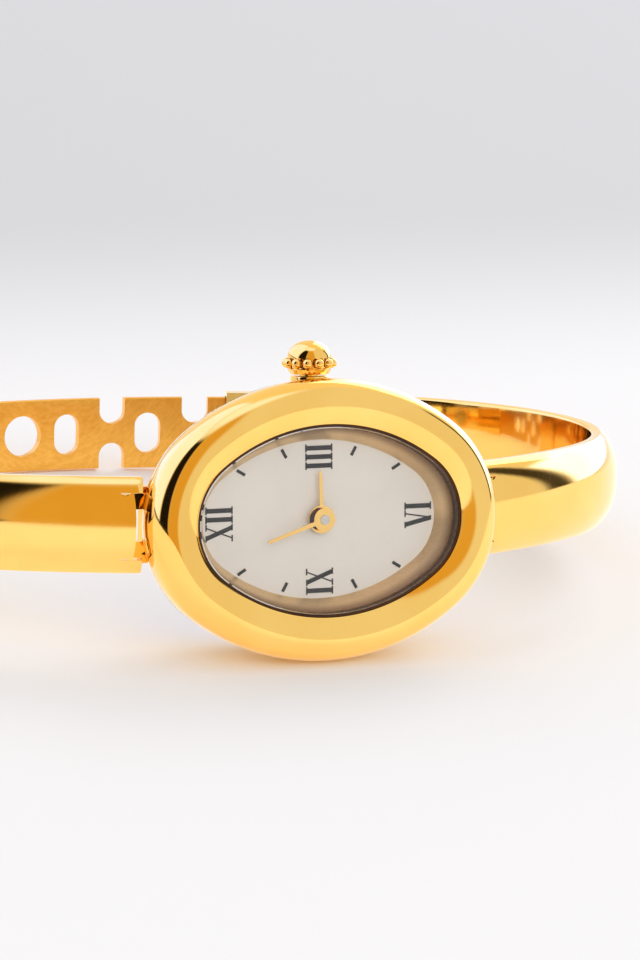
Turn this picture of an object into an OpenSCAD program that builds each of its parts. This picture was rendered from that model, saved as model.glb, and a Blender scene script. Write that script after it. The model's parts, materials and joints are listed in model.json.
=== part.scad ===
// Oval bangle watch, lying on its side with the crown up.
// The head is drawn flat: X runs to 6 o'clock, Y to 3 o'clock and Z out of the dial, with zero on the dial.
// lie() then tips every piece onto the edge that the watch rests on.

/* [Case] */
// Length of the crystal's opening, from 12 to 6 o'clock
opening_l = 19; // [18:0.2:20]
// Width of the crystal's opening, from 3 to 9 o'clock
opening_w = 12.6; // [12:0.1:13.2]
// Width of the polished rim round the opening
rim_w = 2.95; // [2.8:0.05:3.2]
// Height of the opening's edge above the dial
opening_h = 2.15; // [2:0.05:2.4]
// Rise of the rim's crest above the opening's edge
crest_h = 0.45; // [0.3:0.05:0.6]
// Radius of the rim's outer shoulder
shoulder_r = 1.6; // [1.4:0.05:1.8]
// Depth of the case behind the dial
case_depth = 3.4; // [3.3:0.05:3.8]
// How far the wall draws in from the shoulder to the back
tuck = 1.95; // [1.8:0.05:2.1]
// Depth of the joint between bezel and case behind the dial
seam_depth = 0.15; // [0.1:0.05:0.25]
// Thickness of the press-fit back
back_t = 0.55; // [0.4:0.05:0.8]

/* [Glass and dial] */
// Thickness of the crystal
crystal_t = 0.95; // [0.8:0.05:1]
// Width of the dark gasket round the crystal
gasket_w = 0.14; // [0.1:0.02:0.2]
// Width of the sloping flange between crystal and dial
flange_w = 1.1; // [0.9:0.05:1.3]
// Thickness of the dial plate
dial_t = 0.4; // [0.3:0.05:0.45]
// Height of the numerals
numeral_h = 1.95; // [1.6:0.05:2.1]
// Thickness of the printed ink
ink_t = 0.04; // [0.03:0.01:0.06]
// Half length of the oval that the hour ticks stand on
tick_a = 7.9; // [7.6:0.1:8]
// Half width of the oval that the hour ticks stand on
tick_b = 4.6; // [4.4:0.05:4.7]

/* [Hands] */
// Length of the hour hand
hour_len = 3.2; // [2.8:0.1:3.4]
// Length of the minute hand
minute_len = 4.35; // [4:0.05:4.6]
// Width of a hand at its hub
hand_w = 0.3; // [0.2:0.02:0.4]
// Thickness of a hand
hand_t = 0.1; // [0.08:0.01:0.14]
// Height of the hour hand above the dial
hour_hand_h = 0.36; // [0.3:0.02:0.4]
// Height of the minute hand above the dial
minute_hand_h = 0.8; // [0.75:0.02:0.85]
// Minutes past twelve that the hands show
shown_min = 177; // [0:1:719]

/* [Crown] */
// Depth of the stem's axis behind the dial
stem_depth = 1; // [0.95:0.01:1.05]
// Radius of the winding stem
stem_r = 0.3; // [0.26:0.01:0.32]
// Radius of the crown's dome
crown_r = 1.45; // [1.35:0.05:1.55]
// Length of the crown
crown_len = 2.2; // [2:0.05:2.4]
// Number of beads round the crown
bead_count = 12; // [11:1:13]
// Radius of a bead
bead_r = 0.34; // [0.3:0.01:0.36]

/* [Bangle] */
// Length of the bangle outside, from 12 to 6 o'clock
bangle_l = 62.6; // [60:0.2:66]
// Depth of the bangle outside, from front to back
bangle_w = 47; // [45:0.2:49]
// Height of the bangle's full oval in front of the dial
bangle_front = 1.9; // [1.7:0.05:2.1]
// Thickness of an arm
arm_t = 1.9; // [1.8:0.05:2.1]
// Width of an arm at its hinge
arm_w = 6.3; // [6.1:0.1:6.6]
// Width of an arm at its far end
arm_end_w = 5.9; // [5.8:0.05:6.1]
// Rise of an arm's rounded outside over its edges
arm_crown = 1.1; // [0.9:0.05:1.2]
// Half angle at the back between the two arm ends
gap_angle = 19.5; // [18.5:0.5:20.5]
// Tilt of the bangle against the case, its back towards the crown's side
bangle_tilt = 3.7; // [3:0.1:4.2]

/* [Hinges] */
// Distance of a hinge pin from the middle of the watch
hinge_x = 13.1; // [13.05:0.05:13.3]
// Depth of a hinge pin behind the dial
hinge_depth = 1.45; // [1.4:0.05:1.5]
// Radius of a hinge pin
pin_r = 0.3; // [0.25:0.01:0.32]
// Radius of a hinge knuckle
knuckle_r = 0.6; // [0.55:0.01:0.62]

/* [Clasp] */
// Width of the perforated strip
strip_w = 5.1; // [4.8:0.05:5.1]
// Thickness of the perforated strip
strip_t = 0.6; // [0.5:0.05:0.65]
// Depth of the strip below the bangle's outer line
strip_inset = 0.95; // [0.9:0.05:1]
// Distance between the windows in the strip
window_pitch = 3.5; // [3.4:0.05:3.6]
// Width of a window
window_w = 1.9; // [1.6:0.1:2]
// Length of a window across the strip
window_l = 2.9; // [2.6:0.1:3]
// Half width of the cover's rib that presses on the strip
rib_w = 0.55; // [0.45:0.05:0.6]

/* [Hidden] */
$fn = 64;
fit = 0.05; // running clearance of shafts
seat = 0.02; // clearance of pieces pressed or laid together
overlap = 0.2; // how far joined shapes run into each other
reach = 60; // longer than the whole watch

// An oval of four arcs whose centres form 3-4-5 triangles, so the arcs meet smoothly.
case_unit = (opening_l - opening_w) / 4;
bangle_unit = (bangle_l - bangle_w) / 4;

// Bezel and case wall, as distances outside the opening and heights over the dial.
crest_z = opening_h + crest_h;
shoulder_o = rim_w - shoulder_r;
shoulder_z = crest_z - shoulder_r;
slope_r = (shoulder_o * shoulder_o + crest_h * crest_h) / (2 * crest_h);
wall_drop = shoulder_z + case_depth;
wall_r = (tuck * tuck + wall_drop * wall_drop) / (2 * tuck);
wall_c = [rim_w - wall_r, shoulder_z];
seam_turn = asin((shoulder_z + seam_depth) / wall_r);
cavity_o = 0.3;
lip_w = 0.45;
lip_h = 0.4;
crystal_z = opening_h - 0.04 - crystal_t;

// Movement layers, measured as heights over the dial.
movement_l = 16.2;
movement_o = -0.95;
plate_top = -dial_t - seat;
plate_bottom = -1.5;
work_floor = -1;
bridge_top = -2.45;
bridge_bottom = -2.75;
holder_bottom = -2.8;

// Wheels
motion_m = 0.12;
cannon_teeth = 10;
minute_teeth = 30;
minute_leaves = 8;
hour_teeth = 32;
motion_gap = motion_m * (cannon_teeth + minute_teeth) / 2;
motion_turn = 150;
motion_at = motion_gap * [cos(motion_turn), sin(motion_turn)];
train_m = 0.055;
centre_teeth = 60;
third_leaves = 8;
third_teeth = 72;
rotor_leaves = 6;
third_turn = 200;
third_at = train_m * (centre_teeth + third_leaves) / 2 * [cos(third_turn), sin(third_turn)];
rotor_turn = 170;
rotor_at = third_at + train_m * (third_teeth + rotor_leaves) / 2 * [cos(rotor_turn), sin(rotor_turn)];
hour_pipe_r = 0.52;
cannon_pipe_r = 0.32;
arbor_r = 0.15;
post_top = minute_hand_h + hand_t + 0.06;
hour_angle = 180 - shown_min / 2;
minute_angle = 180 - shown_min * 6;
battery_r = 2.9;
battery_t = 1.6;
coil_x = -6.3;
coil_l = 4.8;

// Crown, measured along 3 o'clock from the middle of the dial.
wall_at_stem = rim_w - wall_r + sqrt(wall_r * wall_r - pow(shoulder_z + stem_depth, 2));
wall_y = opening_w / 2 + wall_at_stem;
collar_r = 1;
collar_base = wall_y - 0.15;
collar_top = wall_y + 0.42;
crown_base = collar_top + 0.1;
skirt_h = 0.38;
bead_y = crown_base + skirt_h + bead_r;
dome_y = bead_y + bead_r + seat;
dome_h = crown_base + crown_len - dome_y;
tube_r = 0.65;
stem_inner = 2.9;
groove_y = 4.4;
groove_w = 0.3;

// Bangle oval, in the plane of X and Z.
ring_z = bangle_front - bangle_w / 2;
ring_c = 3 * bangle_unit;
ring_d = 4 * bangle_unit;
join = atan2(4, 3);
ring_end_r = bangle_l / 2 - ring_c;
ring_side_r = bangle_w / 2 + ring_d;
cheek_x = hinge_x - 0.75;
skin_x = hinge_x - 0.3;
fork_w = 4.4;
lug_w = 5;
foot_end = hinge_x - 1.2;
arm_end_z = ring_z + ring_d - ring_side_r * cos(gap_angle);
strip_out = ring_side_r - strip_inset;
strip_in = strip_out - strip_t;
tongue_in = ring_side_r - 1.5;
tongue_out = ring_side_r - 0.8;
slot_gap = 0.08;
strip_play = 0.3; // room under the strip as it slides out of the channel
channel_t = arm_t + 0.25;
clasp_angle = 30;
cover_t = 0.45;
clasp_hinge_angle = 28.8;
clasp_hinge_r = ring_side_r - 0.7;
cover_end = clasp_hinge_angle - 1.3;
window_0 = 4.5;
window_step = 0.8; // the later windows sit this much closer

// Where a point of the bangle, given by its y and z, goes when the bangle tilts about its hinge pins.
function tip(y, z) = [y * cos(bangle_tilt) - (z + hinge_depth) * sin(bangle_tilt),
  y * sin(bangle_tilt) + (z + hinge_depth) * cos(bangle_tilt) - hinge_depth];

// Resting pose: the case wall and the lower back corners of the arms touch the ground.
rest_y = wall_r - opening_w / 2 - rim_w;
foot_z = ring_z + ring_d - (ring_side_r - arm_crown) * cos(gap_angle);
foot = tip(-arm_end_w / 2, foot_z);
rest_hyp = norm([rest_y, shoulder_z] - foot);
lean = asin(wall_r / rest_hyp) - atan2(rest_y - foot[0], shoulder_z - foot[1]);
lift = wall_r - rest_y * cos(lean) - shoulder_z * sin(lean);
front_y = -shoulder_o - opening_w / 2;
front_edge = front_y * sin(lean) - shoulder_z * cos(lean) - shoulder_r;
back = tip(strip_w / 2, ring_z + ring_d - strip_out);
back_edge = back[0] * sin(lean) - back[1] * cos(lean);
shift = -(front_edge + back_edge) / 2;

module lie() translate([0, shift, lift]) rotate([90 - lean, 0, 0]) children();
module tilted() translate([0, 0, -hinge_depth]) rotate([bangle_tilt, 0, 0]) translate([0, 0, hinge_depth])
  children();
module lie_tilted() lie() tilted() children();

function arc(c, r, from, to, n) =
  [for (i = [0 : n]) let (t = from + (to - from) * i / n) c + r * [cos(t), sin(t)]];

module sector(a, b) linear_extrude(reach, center = true) polygon([[0, 0], a, b]);

// The 3-4-5 oval, made bigger or smaller by grow.
module oval(grow) {
  for (turn = [0, 180]) rotate(turn) {
    translate([3 * case_unit, 0]) intersection() {
      circle(opening_l / 2 - 3 * case_unit + grow);
      polygon([[0, 0], 15 * [3, -4], 15 * [3, 4]]);
    }
    translate([0, -4 * case_unit]) intersection() {
      circle(opening_w / 2 + 4 * case_unit + grow);
      polygon([case_unit * [-3, 4], case_unit * [3, 4], 15 * [3, 4], 15 * [-3, 4]]);
    }
  }
}

module oval_plate(grow, low, high) translate([0, 0, low]) linear_extrude(high - low) oval(grow);

module oval_band(inner, outer, low, high) difference() {
  oval_plate(outer, low, high);
  oval_plate(inner, low - 1, high + 1);
}

// Sweeps a profile round the opening: its x is the distance outside the opening, its y the height.
module oval_sweep() for (turn = [0, 180]) rotate(turn) {
  translate([3 * case_unit, 0]) intersection() {
    rotate_extrude() translate([opening_l / 2 - 3 * case_unit, 0]) children();
    sector(15 * [3, -4], 15 * [3, 4]);
  }
  translate([0, -4 * case_unit]) intersection() {
    rotate_extrude() translate([opening_w / 2 + 4 * case_unit, 0]) children();
    sector(15 * [3, 4], 15 * [-3, 4]);
  }
}

module rod(r, low, high) translate([0, 0, low]) cylinder(r = r, h = high - low);
module block(low, high) translate(low) cube(high - low);
module along_y(x, z) translate([x, 0, z]) rotate([-90, 0, 0]) children();

// Gear outline with straight-sided teeth, the first one centred on angle turn.
module gear(teeth, m, turn) {
  pitch = 360 / teeth;
  root = m * (teeth / 2 - 1.2);
  tip = m * (teeth / 2 + 0.85);
  polygon([for (i = [0 : teeth - 1]) for (p = [[root, -0.27], [tip, -0.11], [tip, 0.11], [root, 0.27]])
    let (t = turn + pitch * (i + p[1])) p[0] * [cos(t), sin(t)]]);
}

module wheel(teeth, m, turn, low, high) translate([0, 0, low])
  linear_extrude(high - low) gear(teeth, m, turn);

// Bezel: the polished rim from the opening over its crest and down to the seam.
module bezel() color("gold") lie() difference() {
  oval_sweep() polygon(concat(
    [[0, -seam_depth], [0, opening_h]],
    arc([shoulder_o, crest_z - slope_r], slope_r, 180 - acos(shoulder_o / slope_r) - 4, 90, 5),
    arc([shoulder_o, shoulder_z], shoulder_r, 80, 0, 8),
    arc(wall_c, wall_r, -seam_turn / 2, -seam_turn, 1),
    [[cavity_o + lip_w, -seam_depth], [cavity_o + lip_w, -seam_depth - lip_h],
     [cavity_o + seat, -seam_depth - lip_h], [cavity_o + seat, -seam_depth]]));
  tube_hole();
}

// Case: the tucked-in wall, open at the back, with the hinge lugs and the hole for the crown's tube.
module case_body() color("gold") lie() difference() {
  union() {
    oval_sweep() polygon(concat(
      arc(wall_c, wall_r, -seam_turn, -asin(wall_drop / wall_r), 6),
      [[cavity_o, -case_depth], [cavity_o, -seam_depth - lip_h - seat],
       [cavity_o + lip_w + seat, -seam_depth - lip_h - seat], [cavity_o + lip_w + seat, -seam_depth]]));
    tilted() for (turn = [0, 180]) rotate(turn) lug();
  }
  tube_hole();
}

// The crown tube's hole through the wall, sunk outside for the tube's collar.
module tube_hole() along_y(0, -stem_depth) rotate(20) {
  rod(tube_r + seat, opening_w / 2 - 1, reach);
  rod(collar_r + seat, collar_base - seat, reach);
}

// One lug: a foot on the case wall and two ears that hold the hinge pin.
module lug() {
  foot_x = opening_l / 2 + cavity_o + 1;
  difference() {
    union() {
      block([foot_x, -lug_w / 2, -hinge_depth - knuckle_r], [foot_end, lug_w / 2, -hinge_depth + 0.15]);
      for (side = [-1, 1]) translate([0, side * 1.58, 0]) {
        block([foot_x, -0.52, -hinge_depth - knuckle_r], [hinge_x, 0.52, -hinge_depth + 0.3]);
        along_y(hinge_x, -hinge_depth) rotate(10) rod(knuckle_r, -0.52, 0.52);
      }
    }
    along_y(hinge_x, -hinge_depth) rod(pin_r + 0.01, -3, 3);
    block([opening_l / 2 + rim_w - 0.1, -1.06, -reach], [hinge_x + 1, 1.06, reach]);
  }
}

module hinge_pin(side) lie_tilted() along_y(side * hinge_x, -hinge_depth) rod(pin_r, -2.1, 2.1);
module hinge_pin_12() color("silver") hinge_pin(-1);
module hinge_pin_6() color("silver") hinge_pin(1);

module crystal() color("azure", 0.4) lie() oval_plate(-gasket_w - seat, crystal_z, crystal_z + crystal_t);
module crystal_gasket() color("saddlebrown") lie()
  oval_band(-gasket_w, -0.01, crystal_z, crystal_z + crystal_t);

// Flange: the beige slope from the crystal's seat down to the dial.
module flange_ring() color("tan") lie() oval_sweep()
  polygon([[-flange_w, 0], [-flange_w, 0.06], [-0.3, crystal_z], [-seat, crystal_z], [-seat, 0]]);

module dial() color("whitesmoke") lie() difference() {
  oval_plate(-0.05, -dial_t, 0);
  rod(hour_pipe_r + 0.14, -1, 1);
}

// Numeral strokes, drawn upright from the baseline.
stem_w = 0.3;
hair_w = 0.09;
i_step = 0.58;
module stroke(foot, head, w) polygon([[foot - w / 2, 0], [foot + w / 2, 0], [head + w / 2, numeral_h],
  [head - w / 2, numeral_h]]);
module serif(at, y, w) translate([at - w / 2, y]) square([w, hair_w]);
module letter_i() {
  stroke(0, 0, stem_w);
  serif(0, 0, 0.5);
  serif(0, numeral_h - hair_w, 0.5);
}
module letter_x() {
  stroke(0.36, -0.36, stem_w);
  stroke(-0.36, 0.36, hair_w);
  for (side = [-1, 1]) {
    serif(side * 0.36, 0, 0.42);
    serif(side * 0.36, numeral_h - hair_w, 0.42);
  }
}
module letter_v() {
  stroke(0.06, -0.36, stem_w);
  stroke(0.06, 0.38, hair_w);
  for (side = [-1, 1]) serif(side * 0.37, numeral_h - hair_w, 0.42);
}
module numeral(x, y) translate([x, y]) rotate(90) translate([0, -numeral_h / 2]) children();
module roman_numerals() color("black") lie() linear_extrude(ink_t) {
  numeral(-7.2, 0) {
    translate([-0.62, 0]) letter_x();
    translate([0.25, 0]) letter_i();
    translate([0.25 + i_step, 0]) letter_i();
  }
  numeral(0, 4.07) for (i = [-1 : 1]) translate([i * i_step, 0]) letter_i();
  numeral(7.2, 0) {
    translate([-0.3, 0]) letter_v();
    translate([0.56, 0]) letter_i();
  }
  numeral(0, -4.07) {
    translate([-0.62, 0]) letter_i();
    translate([0.27, 0]) letter_x();
  }
}

module hour_ticks() color("black") lie() for (hour = [1, 2, 4, 5, 7, 8, 10, 11]) {
  t = 180 - 30 * hour;
  r = 1 / sqrt(pow(cos(t) / tick_a, 2) + pow(sin(t) / tick_b, 2));
  rotate(t) block([r - 0.33, -0.1, 0], [r + 0.33, 0.1, ink_t]);
}

// A slim baton hand with a round hub.
module hand(len, hub_r, bore, low, turn) rotate(turn) translate([0, 0, low]) difference() {
  union() {
    cylinder(r = hub_r, h = hand_t);
    linear_extrude(hand_t) polygon([[0, -hand_w / 2], [len - 0.2, -hand_w / 3], [len, 0],
      [len - 0.2, hand_w / 3], [0, hand_w / 2]]);
  }
  rod(bore, -1, 1);
}
module hour_hand() color("gold") lie() hand(hour_len, 0.92, hour_pipe_r + 0.01, hour_hand_h, hour_angle);
module minute_hand() color("gold") lie()
  hand(minute_len, 0.75, cannon_pipe_r + 0.01, minute_hand_h, minute_angle);

// Motion work under the dial: cannon pinion, minute wheel and hour wheel reduce 12 to 1.
module hour_wheel() color("goldenrod") lie() difference() {
  union() {
    wheel(hour_teeth, motion_m, motion_turn + 180 / hour_teeth, -0.62, -0.5);
    rod(hour_pipe_r, -0.62, hour_hand_h + hand_t);
  }
  rod(cannon_pipe_r + fit, -1, 1);
}
module cannon_pinion() color("silver") lie() difference() {
  union() {
    wheel(cannon_teeth, motion_m, motion_turn, -0.92, -0.7);
    rod(cannon_pipe_r, -0.92, post_top);
  }
  rod(arbor_r + 0.01, -2, post_top - 0.12);
  translate([0, 0, post_top]) cube([reach, 0.1, 0.1], center = true);
}
module minute_wheel() color("goldenrod") lie() translate(motion_at) difference() {
  union() {
    wheel(minute_teeth, motion_m, motion_turn + 180 + 180 / minute_teeth, -0.88, -0.76);
    wheel(minute_leaves, motion_m, motion_turn + 180, -0.8, -0.48);
  }
  rod(arbor_r + fit, -1, 1);
}

// Going train: centre wheel, third wheel and the rotor of the stepping motor.
module centre_wheel() color("goldenrod") lie() {
  wheel(centre_teeth, train_m, third_turn, -1.8, -1.68);
  rod(arbor_r, -1.88, post_top - 0.14);
}
module third_wheel() color("goldenrod") lie() translate(third_at) {
  wheel(third_leaves, train_m, third_turn + 180 + 180 / third_leaves, -2.02, -1.64);
  wheel(third_teeth, train_m, rotor_turn, -2.12, -2.02);
  rod(0.09, bridge_bottom + 0.05, plate_bottom + 0.3);
}
module rotor() color("dimgray") lie() translate(rotor_at) {
  wheel(rotor_leaves, train_m, rotor_turn + 180 + 180 / rotor_leaves, -2.2, -1.96);
  rod(0.5, -1.96, -1.62);
  rod(0.07, bridge_bottom + 0.05, plate_bottom + 0.3);
}

// Stator: a soft-iron plate with the rotor's hole, bent round to both ends of the coil's core.
module stator() color("lightsteelblue") lie() translate([0, 0, -1.9]) difference() {
  linear_extrude(0.28) polygon([rotor_at + [0.85, -0.9], rotor_at + [0.85, 0.9], [coil_x + 0.6, 3.2],
    [coil_x - 0.6, 3.2], [coil_x - 0.6, coil_l / 2 + 0.1], [coil_x + 0.8, coil_l / 2 + 0.1],
    rotor_at + [-1.3, 0.5], rotor_at + [-1.3, -0.5], [coil_x + 0.8, -coil_l / 2 - 0.1],
    [coil_x - 0.6, -coil_l / 2 - 0.1], [coil_x - 0.6, -3.2], [coil_x + 0.6, -3.2]]);
  translate(rotor_at) rod(0.6, -1, 1);
}
module coil() color("chocolate") lie() translate([coil_x, 0, -2.15]) rotate([-90, 0, 0]) {
  rod(0.6, -coil_l / 2, coil_l / 2);
  block([-0.45, -0.24, -3.2], [0.45, 0.24, 3.2]);
}
module circuit_board() color("darkgreen") lie() block([-4.4, 2.45, -2.32], [-1.15, 3.75, -2.12]);
module quartz_can() color("silver") lie() translate([0, -3.7, -2]) rotate([0, 90, 0]) rod(0.42, -4.2, -0.4);
module battery() color("silver") lie() translate([3 * case_unit, 0, 0]) {
  rod(battery_r, -1.35 - battery_t, -1.5);
  rod(battery_r - 0.5, -1.5, -1.35);
}
module battery_clamp() color("goldenrod") lie() {
  block([3 * case_unit - 0.8, -3.4, bridge_bottom - 0.35], [3 * case_unit + 0.8, 3.2, bridge_bottom - 0.2]);
  block([3 * case_unit - 0.8, -3.4, bridge_bottom - 0.25], [3 * case_unit + 0.8, -3.05, plate_bottom]);
}

module movement_outline(grow) intersection() {
  oval(movement_o + grow);
  square([movement_l + 2 * grow, reach], center = true);
}
// Main plate: carries the wheels, the battery's well and the stem's channel.
module main_plate() color("silver") lie() difference() {
  translate([0, 0, plate_bottom]) linear_extrude(plate_top - plate_bottom) movement_outline(0);
  rod(motion_m * (hour_teeth / 2 + 1.3), work_floor, 1);
  difference() {
    translate(motion_at) rod(motion_m * (minute_teeth / 2 + 1.3), work_floor, 1);
    translate(motion_at) rod(arbor_r, -2, 0);
  }
  rod(arbor_r + fit, -2, 0);
  block([-1, stem_inner - 0.2, -stem_depth - 0.42], [1, reach, 1]);
  translate(third_at) rod(0.09 + fit, -2, plate_bottom + 0.32);
  translate(rotor_at) rod(0.07 + fit, -2, plate_bottom + 0.32);
  translate([3 * case_unit, 0, 0]) rod(battery_r + 0.06, -2, -1.35 + seat);
}
bridge_posts = [[-3.2, -2.75], [-3.3, 2], [0.2, -3.9]];
module train_bridge() color("silver") lie() difference() {
  union() {
    translate([0, 0, bridge_bottom]) linear_extrude(bridge_top - bridge_bottom)
      polygon([[-5.4, -1.6], [-5.4, 0.4], [-4.2, 2.4], [-2.6, 2.4], [0.9, 1.6], [0.9, -4.4],
        [-0.5, -4.4], [-3.6, -3.3]]);
    for (p = bridge_posts) translate(p) rod(0.36, bridge_top - overlap, plate_bottom);
  }
  for (p = bridge_posts) translate(p) rod(0.16, -3, 0);
  translate(third_at) rod(0.09 + fit, -3, 0);
  translate(rotor_at) rod(0.07 + fit, -3, 0);
}
module bridge_screws() color("steelblue") lie() for (p = bridge_posts) translate(p) {
  rod(0.15, bridge_bottom - 0.05, plate_bottom - seat);
  difference() {
    rod(0.34, bridge_bottom - 0.18, bridge_bottom);
    translate([0, 0, bridge_bottom - 0.18]) cube([1, 0.08, 0.12], center = true);
  }
}
module movement_holder() color("ivory") lie() difference() {
  oval_plate(cavity_o - 0.05, holder_bottom, plate_top);
  translate([0, 0, -5]) linear_extrude(10) movement_outline(0.06);
  rotate([-90, 0, 0]) translate([0, stem_depth, 0]) rod(stem_r + 0.3, 4, reach);
  block([-1, 4, -stem_depth - 0.42], [1, opening_w / 2 - 0.55, 1]);
}

// Stem: turns and slides in the crown's tube; the slide sits in its groove.
module winding_stem() color("silver") lie() along_y(0, -stem_depth) difference() {
  rod(stem_r, stem_inner, dome_y + 0.3);
  difference() {
    rod(stem_r + 1, groove_y, groove_y + groove_w);
    rod(stem_r - 0.1, 0, reach);
  }
}
module setting_slide() color("steelblue") lie() difference() {
  block([-0.9, groove_y + fit, -stem_depth - 0.38], [0.9, groove_y + groove_w - fit, -stem_depth + 0.32]);
  along_y(0, -stem_depth) rod(stem_r - 0.1 + fit, 0, reach);
  block([-stem_r + 0.1 - fit, 0, -stem_depth], [stem_r - 0.1 + fit, reach, 1]);
}
module crown_tube() color("gold") lie() along_y(0, -stem_depth) difference() {
  union() {
    rod(tube_r, opening_w / 2 + cavity_o + 0.1, crown_base + 0.75);
    rod(collar_r, collar_base, collar_top);
  }
  rod(stem_r + fit, 0, reach);
}
module crown() color("gold") lie() along_y(0, -stem_depth) difference() {
  union() {
    translate([0, 0, crown_base]) cylinder(r1 = crown_r - 0.3, r2 = crown_r, h = skirt_h);
    rod(crown_r + 0.01 - bead_r, crown_base + 0.1, dome_y + 0.1);
    translate([0, 0, dome_y]) rotate_extrude()
      polygon(concat([[0, 0]], [for (i = [0 : 8]) [crown_r * cos(11.25 * i), dome_h * sin(11.25 * i)]]));
  }
  rod(tube_r + 0.2, 0, crown_base + 0.85);
  rod(stem_r + 0.01, 0, dome_y + 0.31);
}
module crown_beads() color("gold") lie() along_y(0, -stem_depth)
  for (i = [0 : bead_count - 1]) rotate(360 / bead_count * i) translate([crown_r + 0.02, 0, bead_y])
    sphere(bead_r);
module crown_gasket() color("black") lie() along_y(0, -stem_depth) difference() {
  rod(tube_r + 0.19, crown_base + 0.3, crown_base + 0.5);
  rod(tube_r + fit, 0, reach);
}

module case_back() color("silver") lie() {
  oval_plate(rim_w - tuck - 0.08, -case_depth - back_t, -case_depth);
  oval_band(-0.5, 0.08, -case_depth - overlap, -case_depth + 0.45);
}
module back_gasket() color("black") lie()
  oval_band(0.1, cavity_o - seat, -case_depth + seat, -case_depth + 0.3);

// The bangle's plane: x stays, y becomes the depth of the watch, and z runs across the arm.
module ring_plane() translate([0, 0, ring_z]) rotate([90, 0, 0]) children();

// Arm section: x is the distance outside the bangle's outer line, y runs across the arm.
function arm_section(thick = arm_t) = concat(
  [for (i = [-8 : 8]) let (y = i / 8) [-arm_crown * pow(abs(y), 2.6), y * arm_w / 2]],
  [[-thick, arm_w / 2], [-thick, -arm_w / 2]]);

// Trims children to the arm's width, which tapers towards the back.
module tapered() intersection() {
  children();
  rotate([90, 0, 90]) linear_extrude(3 * reach, center = true) polygon([
    [-arm_w / 2, 0], [-arm_end_w / 2, arm_end_z], [-arm_end_w / 2, 2 * arm_end_z],
    [arm_end_w / 2, 2 * arm_end_z], [arm_end_w / 2, arm_end_z], [arm_w / 2, 0]]);
}
module channel_bar() tapered() ring_plane() translate([0, ring_d]) intersection() {
  rotate_extrude() translate([ring_side_r, 0]) polygon(arm_section(channel_t));
  sector(reach * [sin(gap_angle), -cos(gap_angle)], reach * [sin(clasp_angle), -cos(clasp_angle)]);
}

// Sweeps the arm's section from where two arcs of the bangle meet, at the angle join.
module arc_sweep(radius, from, to) rotate(from) rotate_extrude(angle = to - from)
  translate([radius, 0]) polygon(arm_section());
module side_sweep(to) translate([0, -ring_d]) arc_sweep(ring_side_r, join, to);

// The arm on the 6 o'clock side, from its hinge round to the angle end at the back. The end arc's two
// halves run a little into each other.
module arm_bar(end) tapered() ring_plane() {
  side_sweep(acos(cheek_x / ring_side_r));
  mirror([0, 1]) side_sweep(90 - end);
  for (half = [0, 1]) mirror([0, half]) translate([ring_c, 0]) arc_sweep(ring_end_r, -join, overlap);
}
// Turns children to an angle at the back, where x is the radius and z runs across the arm.
module at_back(angle) ring_plane() translate([0, ring_d, 0]) rotate(angle - 90) children();
module back_band(inner, outer, half_w, from, to) ring_plane() translate([0, ring_d, 0]) intersection() {
  difference() {
    rod(outer, -half_w, half_w);
    rod(inner, -half_w - 1, half_w + 1);
  }
  sector(reach * [sin(from), -cos(from)], reach * [sin(to), -cos(to)]);
}
module radial_rod(angle, y, r, low, high) at_back(angle) translate([0, 0, y]) rotate([0, 90, 0])
  rod(r, low, high);

// The arm with its hinge: a pocket clears the lug and a knuckle turns on the pin.
module hinged_arm(end) {
  difference() {
    arm_bar(end);
    along_y(hinge_x, -hinge_depth) rotate(7) rod(knuckle_r + 0.08, -fork_w / 2, fork_w / 2);
    translate([0, -fork_w / 2, 0]) {
      block([cheek_x - 1, 0, -hinge_depth - 3], [hinge_x, fork_w, -hinge_depth + knuckle_r + 0.08]);
      block([cheek_x - 1, 0, -hinge_depth - 3], [skin_x, fork_w, 3]);
    }
    translate([foot_end, -lug_w / 2 - 0.1, -hinge_depth])
      block([-2, 0, -3], [0.75, lug_w + 0.2, 0.45]);
  }
  difference() {
    union() {
      along_y(hinge_x, -hinge_depth) rotate(7) rod(knuckle_r, -1, 1);
      block([hinge_x, -1, -hinge_depth - 0.5], [hinge_x + knuckle_r + 0.4, 1, -hinge_depth + 0.5]);
    }
    along_y(hinge_x, -hinge_depth) rod(pin_r + fit, -3, 3);
  }
}
module arm_12() color("gold") lie_tilted() difference() {
  mirror([1, 0, 0]) hinged_arm(gap_angle);
  back_band(strip_in - slot_gap, strip_out + slot_gap, strip_w / 2 + slot_gap,
    -gap_angle - 5.5, -gap_angle + 1);
  for (side = [-1, 1]) radial_rod(-gap_angle - 2.5, side * 1.3, 0.41, ring_side_r - 4, ring_side_r + 1);
}
module arm_6() color("gold") lie_tilted() difference() {
  hinged_arm(clasp_angle);
  back_band(tongue_in - 0.03, tongue_out + 0.03, 2.2, clasp_angle - 1, clasp_angle + 3);
  clasp_rivet_rods(0.41);
}

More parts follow.
